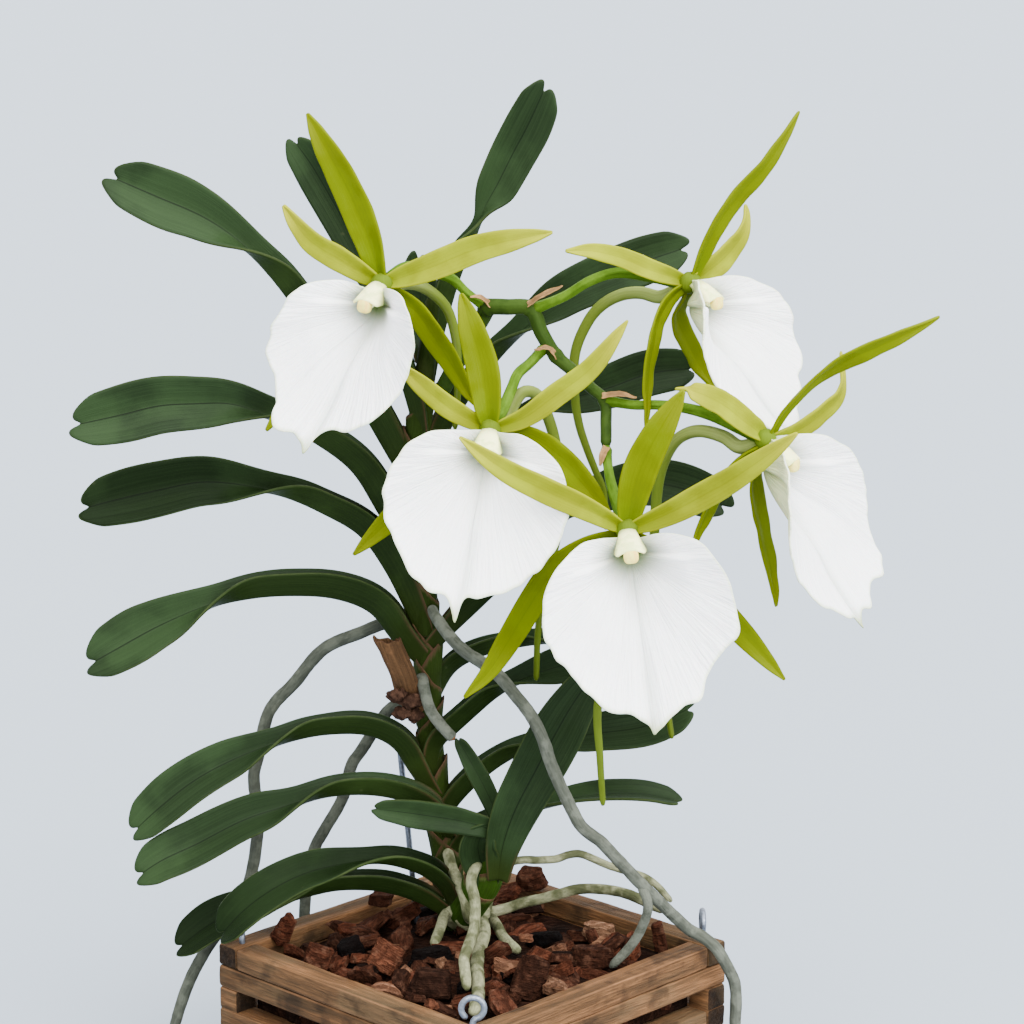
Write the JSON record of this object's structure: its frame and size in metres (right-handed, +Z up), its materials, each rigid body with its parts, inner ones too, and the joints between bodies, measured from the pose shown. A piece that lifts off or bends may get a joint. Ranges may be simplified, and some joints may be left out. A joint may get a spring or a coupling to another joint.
{
  "type": "potted orchid",
  "caption": "Spurred orchid with white-lipped yellow-green flowers, strap leaves and trailing grey roots, growing in bark in a square basket of weathered wooden slats.",
  "frame": {"origin": "middle of the basket's underside, which is the mount base", "axes": "+Z up, +X to the viewer's right and -Y towards the viewer; the basket's corners lie on the X and Y axes"},
  "size_m": [0.3426, 0.2132, 0.4316],
  "materials": {
    "wood": "weathered",
    "zinc": "galvanised",
    "bark": "rough",
    "dry_stub": "fibrous",
    "stem": "papery",
    "leaf": "waxy",
    "root": "matt",
    "stalk": "satin",
    "tepal": "satin",
    "lip": "matt"
  },
  "bodies": {
    "root": {"bark_fill": "bark", "basal_roots": "root", "base_frame": "wood", "dried_stalk_stub": "dry_stub", "eye_rod_back": "zinc", "eye_rod_front": "zinc", "eye_rod_left": "zinc", "eye_rod_right": "zinc", "flower_1_lip": "lip", "flower_1_tepals": "tepal", "flower_2_lip": "lip", "flower_2_tepals": "tepal", "flower_3_lip": "lip", "flower_3_tepals": "tepal", "flower_4_lip": "lip", "flower_4_tepals": "tepal", "flower_5_lip": "lip", "flower_5_tepals": "tepal", "flower_stalk": "stalk", "leaf_left_1": "leaf", "leaf_left_2": "leaf", "leaf_left_3": "leaf", "leaf_left_4": "leaf", "leaf_left_5": "leaf", "leaf_left_6": "leaf", "leaf_left_7": "leaf", "leaf_left_8": "leaf", "leaf_left_9": "leaf", "leaf_right_1": "leaf", "leaf_right_2": "leaf", "leaf_right_3": "leaf", "leaf_right_4": "leaf", "leaf_right_5": "leaf", "leaf_right_6": "leaf", "leaf_right_7": "leaf", "leaf_right_8": "leaf", "leaf_top_new": "leaf", "lower_frame": "wood", "middle_slat_back_left": "wood", "middle_slat_back_right": "wood", "middle_slat_front_left": "wood", "middle_slat_front_right": "wood", "rim_slat_back_left": "wood", "rim_slat_back_right": "wood", "rim_slat_front_left": "wood", "rim_slat_front_right": "wood", "root_left_inner": "root", "root_left_outer": "root", "root_right": "root", "root_short_cut": "root", "shoot_leaf_broad": "leaf", "shoot_leaf_left": "leaf", "shoot_leaf_narrow": "leaf", "shoot_stem": "stem", "stem": "stem", "upper_slat_back_left": "wood", "upper_slat_back_right": "wood", "upper_slat_front_left": "wood", "upper_slat_front_right": "wood", "wire_stake": "zinc"}
  },
  "joints": []
}
